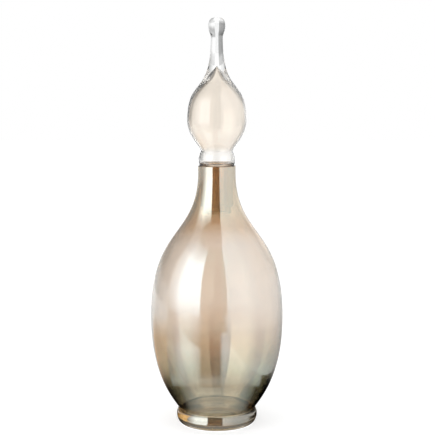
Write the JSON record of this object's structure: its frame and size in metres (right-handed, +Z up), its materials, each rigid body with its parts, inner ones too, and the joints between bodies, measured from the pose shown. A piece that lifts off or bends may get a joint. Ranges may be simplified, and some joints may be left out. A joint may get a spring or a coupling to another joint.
{
  "type": "decorative stoppered bottle",
  "caption": "Tall blown glass bottle with ovoid belly, pinched hollow foot and a lift-out hollow onion stopper with drawn spire, on a soft seal sleeve.",
  "frame": {"origin": "middle of the resting plane under the foot", "axes": "+Z up along the axis that every piece is turned round"},
  "size_m": [0.1476, 0.1476, 0.45],
  "materials": {
    "champagne_glass": "clear blown glass with a champagne lustre coat inside",
    "blush_glass": "clear blown glass with a faint blush",
    "clear_vinyl": "clear soft vinyl"
  },
  "bodies": {
    "bottle": {"bottle": "champagne_glass"},
    "seal": {"stopper_seal": "clear_vinyl"},
    "stopper": {"stopper": "blush_glass"}
  },
  "joints": [
    {"name": "stopper_lift", "type": "slide", "parent": "bottle", "child": "seal", "axis": [0, 0, 1], "range_m": [0, 0.08]},
    {"name": "stopper_turn", "type": "hinge", "parent": "seal", "child": "stopper", "pos_m": [0, 0, 0.2893], "axis": [0, 0, 1], "continuous": true}
  ]
}
